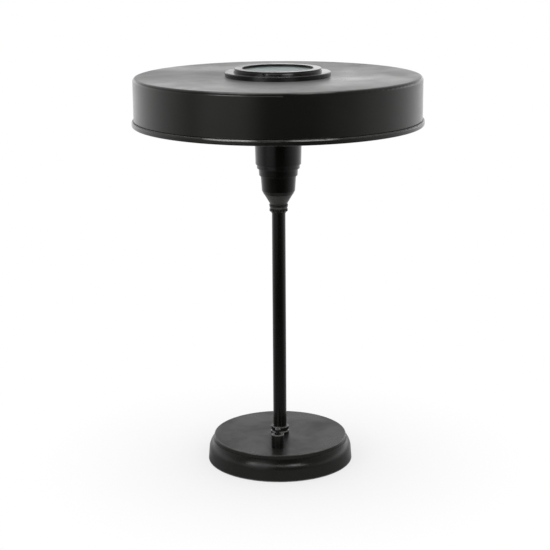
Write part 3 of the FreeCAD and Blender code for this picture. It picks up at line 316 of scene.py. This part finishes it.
def felt(name):
    shader = Shader(name)
    fibres = shader.noise(900.0, 4.0, 0.7, 1.5)
    tufts = shader.ramp(shader.noise(70.0, 4.0, 0.6), 0.35, 0.65, 0.0, 1.0)
    shader.feed("Base Color", shader.blend(tufts, (0.012, 0.028, 0.018), (0.022, 0.048, 0.032)))
    shader.fixed(Roughness=0.95, Sheen_Weight=0.4, Sheen_Roughness=0.6)
    shader.bump(fibres, 0.6, 0.0008)
    return shader.material


def clear(name, colour, rough, weight=1.0):
    """Glass with a slight ripple. A weight under one leaves part of it milky."""
    shader = Shader(name)
    ripple = shader.noise(14.0, 3.0, 0.5)
    shader.fixed(Base_Color=(*colour, 1.0), IOR=1.5, Transmission_Weight=weight, Roughness=rough)
    shader.bump(ripple, 0.05, 0.002)
    return shader.material


def coated_rod(name):
    """The yellow coating of a lamp's filament rods."""
    shader = Shader(name)
    coating = shader.noise(300.0, 3.0, 0.6)
    shader.feed("Base Color", shader.blend(coating, (0.85, 0.62, 0.2), (0.95, 0.76, 0.36)))
    shader.fixed(Roughness=0.6)
    shader.bump(coating, 0.1, 0.0004)
    return shader.material


def top_of(node):
    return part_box(node)[1][2]


def foot_of(node):
    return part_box(node)[0][2]


SHADE_EDGES = (Edge(0.2018, foot_of("shade_shell") + 0.0072, 0.0019, 2.6),
               Edge(0.1985, top_of("shade_shell") - 0.0010, 0.0020, 0.12))
SHADE_SPOTS = ((-0.063, -0.192, 0.038), (0.046, -0.197, 0.034), (0.187, 0.077, 0.090),
               (-0.165, 0.117, 0.080), (0.030, 0.200, 0.070))
PORT_EDGES = (Edge(0.0621, 0.5650, 0.0016, 1.2),)
PORT_SPOTS = ((0.0135, -0.0606, 0.0090), (-0.0165, -0.0599, 0.0042), (0.0450, 0.0430, 0.020))
BASE_EDGES = (Edge(0.0950, 0.0367, 0.0014, 0.15), Edge(0.1044, 0.0012, 0.0014, 0.3))
COLLAR_EDGES = (Edge(None, 0.0413, 0.0009, 0.3), Edge(None, 0.0481, 0.0009, 0.25),
                Edge(None, top_of("top_collar") - 0.0040, 0.0026, 0.06))
BARREL_EDGES = (Edge(None, top_of("switch_barrel"), 0.0009, 0.2),)
LEVER_EDGES = (Edge(None, top_of("switch_lever") - 0.0010, 0.0030, 0.12),)

FINISHES = {
    "shade_paint": enamel("shade_enamel", BLACK, SMOKE, (0.16, 0.26), 10.0, SHADE_EDGES,
                          dust_and_reflection=(DUST_AND_REFLECTION, 0.16), spots=SHADE_SPOTS, sheen=0.15),
    "port_paint": enamel("port_enamel", INK, SOOT, (0.14, 0.24), 22.0, PORT_EDGES,
                         dust_and_reflection=(FILM, 0.03), spots=PORT_SPOTS),
    "base_paint": enamel("base_enamel", BLACK, SMOKE, (0.17, 0.40), 12.0, BASE_EDGES, dust_and_reflection=(FILM, 0.08)),
    "pole_paint": enamel("pole_enamel", INK, SOOT, (0.16, 0.28), 16.0),
    "cup_paint": enamel("cup_enamel", INK, SOOT, (0.14, 0.24), 20.0),
    # The black bands at the collar's top and the ferrule's foot are painted shade where the two parts meet.
    "collar_paint": enamel("collar_enamel", INK, SMOKE, (0.18, 0.28), 40.0, COLLAR_EDGES,
                           shaded_joins=((top_of("top_collar"), 0.0010),)),
    "ferrule_paint": enamel("ferrule_enamel", LEAD, ASH, (0.26, 0.36), 40.0,
                            shaded_joins=((foot_of("cone_ferrule"), 0.0014),)),
    "switch_paint": enamel("switch_enamel", INK, SOOT, (0.22, 0.32), 60.0, BARREL_EDGES),
    "lever_paint": enamel("lever_enamel", INK, SOOT, (0.16, 0.24), 60.0, LEVER_EDGES),
    "black_screw": enamel("screw_enamel", BLACK, SMOKE, (0.28, 0.40), 60.0),
    "carrier_paint": enamel("carrier_enamel", BLACK, SMOKE, (0.36, 0.48), 20.0),
    "cover_steel": metal("sheet_steel", (0.46, 0.46, 0.45), 0.42, 90.0, (1.0, 14.0, 1.0)),
    "screw_steel": metal("screw_steel", (0.52, 0.51, 0.49), 0.34),
    "rod_steel": metal("rod_steel", (0.50, 0.49, 0.47), 0.36, 500.0, (0.2, 0.2, 4.0)),
    "brass": metal("brass", (0.72, 0.52, 0.22), 0.3),
    "solder": metal("solder", (0.55, 0.55, 0.56), 0.45, 500.0),
    "bulb_cap_aluminium": metal("cap_aluminium", (0.75, 0.75, 0.74), 0.32, 200.0, (1.0, 1.0, 6.0)),
    "weight_iron": iron("cast_iron"),
    "felt": felt("felt"),
    "rubber": moulded("rubber", (0.014, 0.014, 0.014), 0.7),
    "holder_plastic": moulded("holder_plastic", (0.010, 0.010, 0.010), 0.28),
    "insulator_plastic": moulded("insulator", (0.62, 0.58, 0.50), 0.5),
    "block_plastic": moulded("terminal_block", (0.70, 0.69, 0.66), 0.45),
    "bulb_seal_plastic": moulded("bulb_seal", (0.012, 0.012, 0.014), 0.2),
    "neutral_sleeve": moulded("neutral_sleeve", (0.03, 0.12, 0.42), 0.45),
    "switched_sleeve": moulded("switched_sleeve", (0.10, 0.045, 0.02), 0.45),
    "bulb_glass": clear("bulb_glass", (0.97, 0.97, 0.95), 0.0),
    "stem_glass": clear("stem_glass", (0.93, 0.95, 0.93), 0.05),
    "port_glass": clear("port_glass", (0.38, 0.50, 0.49), 0.40, 0.94),
    "filament": coated_rod("filament"),
}


def dress():
    """Gives every CAD node the finish of its slot."""
    for entry in frame["record"]["subparts"]:
        mesh = nodes[entry["node"]].data
        finish = FINISHES[entry["material_slot"]]
        if not mesh.materials:
            mesh.materials.append(finish)
        for index in range(len(mesh.materials)):
            mesh.materials[index] = finish


# Fasteners and the bulb's cap, in place of their plain solids.

ROUND = 40  # corners of a small round piece
CAP_ROUND = 72  # corners of the bulb's cap
ROWS_PER_TURN = 8  # rows of points in each turn of a thread
SHARP = math.radians(32.0)  # edges sharper than this stay crisp


def middle_of(points):
    low = [min(point[axis] for point in points) for axis in range(3)]
    high = [max(point[axis] for point in points) for axis in range(3)]
    return Vector([(a + b) / 2 for a, b in zip(low, high)])


def span(points, direction=UP):
    """How far the points reach along a direction, from the lowest to the highest."""
    along = [point.dot(direction) for point in points]
    return min(along), max(along)


def solids(node):
    """The corners of each separate solid of a CAD node, as lists of points, in order of their centres."""
    shape = bmesh.new()
    shape.from_mesh(nodes[node].data)
    bmesh.ops.remove_doubles(shape, verts=shape.verts, dist=1e-6)
    shape.verts.ensure_lookup_table()
    seen = set()
    found = []
    for start in shape.verts:
        if start.index in seen:
            continue
        seen.add(start.index)
        reached, points = [start], []
        while reached:
            vertex = reached.pop()
            points.append(vertex.co.copy())
            for edge in vertex.link_edges:
                other = edge.other_vert(vertex)
                if other.index not in seen:
                    seen.add(other.index)
                    reached.append(other)
        found.append(points)
    shape.free()
    return sorted(found, key=lambda points: tuple(round(part, 5) for part in middle_of(points)))


def round_skin(rows, segments, pitch=None, closed=False):
    """A mesh round the Z axis through rows of (radius, height, how deep the thread is cut there).

    The thread has the given pitch. A closed skin joins its last row to its first.
    """
    points = []
    for radius, height, depth in rows:
        for index in range(segments):
            turn = index / segments
            cut = 0.5 * depth * (1.0 - math.cos(2.0 * math.pi * (height / pitch - turn))) if depth else 0.0
            angle = 2.0 * math.pi * turn
            points.append(((radius - cut) * math.cos(angle), (radius - cut) * math.sin(angle), height))
    faces = []
    for row in range(len(rows) if closed else len(rows) - 1):
        after = (row + 1) % len(rows)
        for index in range(segments):
            beside = (index + 1) % segments
            faces.append((row * segments + index, row * segments + beside,
                          after * segments + beside, after * segments + index))
    if not closed:
        faces.append(tuple(reversed(range(segments))))
        faces.append(tuple(range((len(rows) - 1) * segments, len(rows) * segments)))
    mesh = bpy.data.meshes.new("skin")
    mesh.from_pydata(points, [], faces)
    return mesh


def recessed(mesh, corners, top, depth, taper):
    """The mesh with a tapered recess of the given outline cut into its top."""
    above = 0.0004
    count = len(corners)
    points = [(x, y, top + above) for x, y in corners]
    points += [(x * taper, y * taper, top - depth) for x, y in corners]
    faces = [tuple(range(count)), tuple(reversed(range(count, 2 * count)))]
    for index in range(count):
        beside = (index + 1) % count
        faces.append((beside, index, count + index, count + beside))
    tool_mesh = bpy.data.meshes.new("recess")
    tool_mesh.from_pydata(points, [], faces)
    tool = bpy.data.objects.new("recess", tool_mesh)
    blank = bpy.data.objects.new("blank", mesh)
    for thing in (tool, blank):
        bpy.context.scene.collection.objects.link(thing)
    cut = blank.modifiers.new("recess", "BOOLEAN")
    cut.operation = "DIFFERENCE"
    cut.solver = "EXACT"
    cut.object = tool
    result = bpy.data.meshes.new_from_object(blank.evaluated_get(bpy.context.evaluated_depsgraph_get()))
    for thing in (tool, blank):
        bpy.data.objects.remove(thing)
    for used in (tool_mesh, mesh):
        bpy.data.meshes.remove(used)
    return result


def cross(arm, width):
    """The outline of a cross, anticlockwise."""
    a, w = arm, width
    return [(a, -w), (a, w), (w, w), (w, a), (-w, a), (-w, w),
            (-a, w), (-a, -w), (-w, -w), (-w, -a), (w, -a), (w, -w)]


def hexagon(radius):
    angles = [math.radians(60 * index) for index in range(6)]
    return [(radius * math.cos(angle), radius * math.sin(angle)) for angle in angles]


def upright(place, direction, turn=0.0):
    """Stands the Z axis along direction at place, turned about it."""
    lean = direction.to_track_quat("Z", "Y").to_matrix().to_4x4()
    return Matrix.Translation(place) @ lean @ Matrix.Rotation(turn, 4, "Z")


def fit_out(name, node, slot, body, mesh, places):
    """Copies the mesh to each place as one piece that stands for a CAD node."""
    shape = bmesh.new()
    for place in places:
        one = mesh.copy()
        one.transform(place)
        shape.from_mesh(one)
        bpy.data.meshes.remove(one)
    bmesh.ops.recalc_face_normals(shape, faces=shape.faces)
    whole = bpy.data.meshes.new(name)
    shape.to_mesh(whole)
    shape.free()
    bpy.data.meshes.remove(mesh)
    whole.shade_smooth()
    whole.set_sharp_from_angle(angle=SHARP)
    whole.materials.clear()
    whole.materials.append(FINISHES[slot])
    piece = bpy.data.objects.new(name, whole)
    bpy.context.scene.collection.objects.link(piece)
    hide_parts(node)
    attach(piece, body)


def pan_head_screw(shank, length, head, head_height, pitch, recess):
    """A screw that stands on its tip at the origin: a threaded shank, then a domed head with a cross recess."""
    depth = 0.16 * shank
    rows = [(0.55 * shank, 0.0, 0.0), (shank - depth, 0.25 * pitch, 0.0)]
    steps = int(length / pitch * ROWS_PER_TURN)
    rows += [(shank, 0.25 * pitch + (length - 0.5 * pitch) * k / steps, depth) for k in range(1, steps)]
    rows += [(shank, length, 0.0), (0.98 * head, length, 0.0), (head, length + 0.12 * head_height, 0.0)]
    steepest = math.radians(80.0)
    for k in range(1, 9):
        lean = math.radians(10.0 * k)
        rise = 0.35 + 0.65 * math.sin(lean) / math.sin(steepest)
        rows.append((head * (0.30 + 0.70 * math.cos(lean)), length + head_height * rise, 0.0))
    rows.append((0.1 * head, length + head_height, 0.0))
    return recessed(round_skin(rows, ROUND, pitch), cross(recess, 0.28 * recess),
                    length + head_height, 0.6 * head_height, 0.55)


def hanging_screws(name, node, shank, head, head_height, pitch, recess, turn):
    """Pan-head screws with their heads down, each turned further than the one before."""
    screws = solids(node)
    low, high = span(screws[0])
    middles = [middle_of(points) for points in screws]
    places = [upright((middle.x, middle.y, high), DOWN, turn * index) for index, middle in enumerate(middles)]
    fit_out(name, node, "screw_steel", "lamp",
            pan_head_screw(shank, high - low - head_height, head, head_height, pitch, recess), places)


def set_screws():
    """The headless screws in the port's ring, threaded, with a hexagon socket in the outer end."""
    places = []
    for points in solids("lock_screws"):
        middle = middle_of(points)
        outward = Vector((middle.x, middle.y, 0.0)).normalized()
        inner, outer = span(points, outward)
        places.append(upright(outward * inner + Vector((0.0, 0.0, middle.z)), outward))
    length = outer - inner
    radius, pitch, depth = 0.0015, 0.0005, 0.0002
    steps = int((length - 0.0004) / pitch * ROWS_PER_TURN)
    rows = [(0.0010, 0.0, 0.0)]
    rows += [(radius, 0.0002 + (length - 0.0005) * k / steps, depth) for k in range(steps + 1)]
    rows += [(radius - 0.0001, length - 0.0001, 0.0), (radius - 0.0003, length, 0.0)]
    fit_out("socket_set_screws", "lock_screws", "black_screw", "lamp",
            recessed(round_skin(rows, ROUND, pitch), hexagon(0.00085), length, 0.0011, 1.0), places)


def rivets():
    """The carrier's rivets, domed at both ends."""
    found = solids("carrier_rivets")
    low, high = span(found[0])
    head, shank, dome = 0.0028, 0.0016, 0.0012
    leans = [math.radians(angle) for angle in range(6, 91, 12)]
    half = [(head * math.sin(lean), dome * (1 - math.cos(lean)), 0.0) for lean in leans] + [(shank, dome, 0.0)]
    other_half = [(radius, high - low - height, 0.0) for radius, height, _ in reversed(half)]
    middles = [middle_of(points) for points in found]
    fit_out("domed_rivets", "carrier_rivets", "screw_steel", "lamp", round_skin(half + other_half, ROUND),
            [upright((middle.x, middle.y, low), UP) for middle in middles])


def threaded_cap():
    """The bulb's aluminium cap with its rolled thread."""
    low, high = foot_of("bulb_cap"), top_of("bulb_cap")
    tall, wide = high - low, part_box("bulb_cap")[1][0]
    seal, wall, taper, pitch, depth = 0.0064, 0.0006, 0.0035, 0.00362, 0.0009
    rows = [(seal, 0.0, 0.0), (0.5 * (seal + wide) + 0.0006, 0.40 * taper, 0.0),
            (wide - 0.0012, 0.85 * taper, 0.0)]
    start, end = taper + 0.0004, tall - 0.0042
    steps, runout = 56, 5
    for k in range(steps + 1):
        ease = min(1.0, k / runout, (steps - k) / runout)
        rows.append((wide, start + (end - start) * k / steps, depth * ease))
    rows += [(wide, tall - 0.0030, 0.0), (wide - 0.0004, tall - 0.0026, 0.0),
             (wide, tall - 0.0020, 0.0), (wide, tall, 0.0)]
    rows += [(max(radius - wall, seal - wall / 2), height + (wall if height < taper else 0.0), cut)
             for radius, height, cut in reversed(rows)]
    fit_out("rolled_cap", "bulb_cap", "bulb_cap_aluminium", "bulb_globe",
            round_skin(rows, CAP_ROUND, pitch, closed=True), [Matrix.Translation((0.0, 0.0, low))])


def fittings():
    hanging_screws("cover_pan_screws", "cover_screws", shank=0.0020, head=0.0038, head_height=0.0015,
                   pitch=0.0009, recess=0.0021, turn=0.7)
    hanging_screws("port_pan_screws", "port_screws", shank=0.0015, head=0.0028, head_height=0.0018,
                   pitch=0.0006, recess=0.0016, turn=1.1)
    set_screws()
    rivets()
    threaded_cap()


# Studio and camera.

FLOOR_REACH = 30.0
FILL = 0.70  # the room's plain light
SMOOTH = "SMOOTHSTEP"
# Name, place, target, width, height and power in watts.
SOFTBOXES = (
    ("overhead", (0.0, 0.35, 2.6), (0.0, 0.0, 0.3), 1.6, 1.6, 14.0),
    ("front_strip", (-0.25, -2.4, 1.1), (0.0, 0.0, 0.05), 5.6, 0.28, 12.0),
    ("front_left", (-1.40, -1.80, 1.15), (0.0, 0.0, 0.3), 1.0, 0.5, 6.5),
    ("front_right", (0.95, -2.10, 1.15), (0.0, 0.0, 0.3), 0.8, 0.5, 3.0),
)
EYE = (-0.00577, -2.0512, 0.78375)
EYE_PITCH, EYE_ROLL = math.radians(90.0 - 13.956), math.radians(-0.4)
LENS_MM, SENSOR_MM = 97.14, 36.0


def studio_gloss(tree, direction):
    """How bright the studio looks in gloss: white to the rear, and its two patches to the front."""
    x, y, _ = parts_of(tree, direction)
    reach = from_axis(tree, x, y)
    across, along = arithmetic(tree, "DIVIDE", x, reach), arithmetic(tree, "DIVIDE", y, reach)

    def towards(x_share, y_share):
        return arithmetic(tree, "ADD", arithmetic(tree, "MULTIPLY", across, x_share),
                          arithmetic(tree, "MULTIPLY", along, y_share))

    rear = remap(tree, along, -0.95, 0.90, 0.02, 1.08, SMOOTH)
    left = remap(tree, towards(-0.64, -0.77), 0.86, 1.0, 0.0, 0.42, SMOOTH)
    right = remap(tree, towards(0.85, -0.53), 0.84, 1.0, 0.0, 0.12, SMOOTH)
    return rear, arithmetic(tree, "ADD", left, right)


def floor():
    """A plain pale floor that carries the lamp's soft shadow and runs out into white."""
    far = FLOOR_REACH
    corners = [(-far, -far, 0), (far, -far, 0), (far, far, 0), (-far, far, 0)]
    mesh = bpy.data.meshes.new("floor")
    mesh.from_pydata(corners, [], [(0, 1, 2, 3)])
    plane = bpy.data.objects.new("floor", mesh)
    bpy.context.scene.collection.objects.link(plane)
    shader = Shader("floor")
    shader.fixed(Base_Color=(0.93, 0.93, 0.93, 1.0), Roughness=0.9, Specular_IOR_Level=0.0)
    tree, plain = shader.tree, shader.surface.outputs[0]
    path = tree.nodes.new("ShaderNodeLightPath")
    white = tree.nodes.new("ShaderNodeEmission")
    radius, _ = shader.place()
    whiter = shader.ramp(radius, 0.12, 0.36, 0.70, 1.0)
    whitened = mix_shaders(tree, whiter, plain, white.outputs[0])
    seen = mix_shaders(tree, path.outputs["Is Camera Ray"], plain, whitened)
    # In gloss the floor glows, painted light seen only in reflections: white to the rear, dim in front, two
    # brighter patches far to the front and a faint glow close to the lamp.
    gloss = tree.nodes.new("ShaderNodeEmission")
    rear, patches = studio_gloss(tree, shader.coords)
    wide = shader.math("MULTIPLY", rear, shader.ramp(radius, 0.9, 2.0, 0.6, 1.0))
    bright = shader.math("MULTIPLY", patches, shader.ramp(radius, 1.5, 2.3, 0.0, 1.0))
    close = shader.ramp(radius, 0.15, 0.7, 0.28, 0.0)
    strength = shader.math("MAXIMUM", shader.math("ADD", wide, bright), close)
    tree.links.new(strength, gloss.inputs["Strength"])
    tree.links.new(mix_shaders(tree, path.outputs["Is Glossy Ray"], seen, gloss.outputs[0]),
                   shader.output.inputs["Surface"])
    shader.material.cycles.emission_sampling = "NONE"
    mesh.materials.append(shader.material)


def world():
    """White behind the lamp and in its gloss, with a darker room round the camera."""
    room = bpy.data.worlds.new("studio")
    room.use_nodes = True
    tree = room.node_tree
    tree.nodes.clear()
    output = tree.nodes.new("ShaderNodeOutputWorld")
    shine, fill, white = (tree.nodes.new("ShaderNodeBackground") for _ in range(3))
    for background in (shine, fill, white):
        background.inputs["Color"].default_value = (1, 1, 1, 1)
    fill.inputs["Strength"].default_value = FILL
    path = tree.nodes.new("ShaderNodeLightPath").outputs
    direction = tree.nodes.new("ShaderNodeTexCoord").outputs["Generated"]
    level = arithmetic(tree, "ADD", *studio_gloss(tree, direction))
    lift = remap(tree, parts_of(tree, direction)[2], 0.10, 0.38, 1.38, 0.50, SMOOTH)
    tree.links.new(arithmetic(tree, "MULTIPLY", level, lift), shine.inputs["Strength"])
    lit = mix_shaders(tree, path["Is Glossy Ray"], fill.outputs[0], shine.outputs[0])
    direct = arithmetic(tree, "MAXIMUM", path["Is Camera Ray"], path["Is Transmission Ray"])
    tree.links.new(mix_shaders(tree, direct, lit, white.outputs[0]), output.inputs["Surface"])
    room.cycles.sampling_method = "NONE"
    bpy.context.scene.world = room


def softbox(name, place, target, width, height, power):
    light = bpy.data.lights.new(name, "AREA")
    light.shape = "RECTANGLE"
    light.size = width
    light.size_y = height
    light.energy = power
    box = bpy.data.objects.new(name, light)
    bpy.context.scene.collection.objects.link(box)
    direction = Vector(target) - Vector(place)
    box.matrix_world = Matrix.Translation(place) @ direction.to_track_quat("-Z", "Y").to_matrix().to_4x4()


def camera():
    """The photograph's view: the lens, height and tilt were fitted to its levels and edges."""
    lens = bpy.data.cameras.new("photo_camera")
    lens.sensor_width = SENSOR_MM
    lens.sensor_fit = "HORIZONTAL"
    lens.lens = LENS_MM
    eye = bpy.data.objects.new("photo_camera", lens)
    bpy.context.scene.collection.objects.link(eye)
    eye.matrix_world = (Matrix.Translation(EYE) @ Matrix.Rotation(EYE_PITCH, 4, "X")
                        @ Matrix.Rotation(EYE_ROLL, 4, "Z"))
    bpy.context.scene.camera = eye


bpy.context.scene.view_settings.view_transform = "Standard"
dress()
fittings()
floor()
world()
for box in SOFTBOXES:
    softbox(*box)
camera()
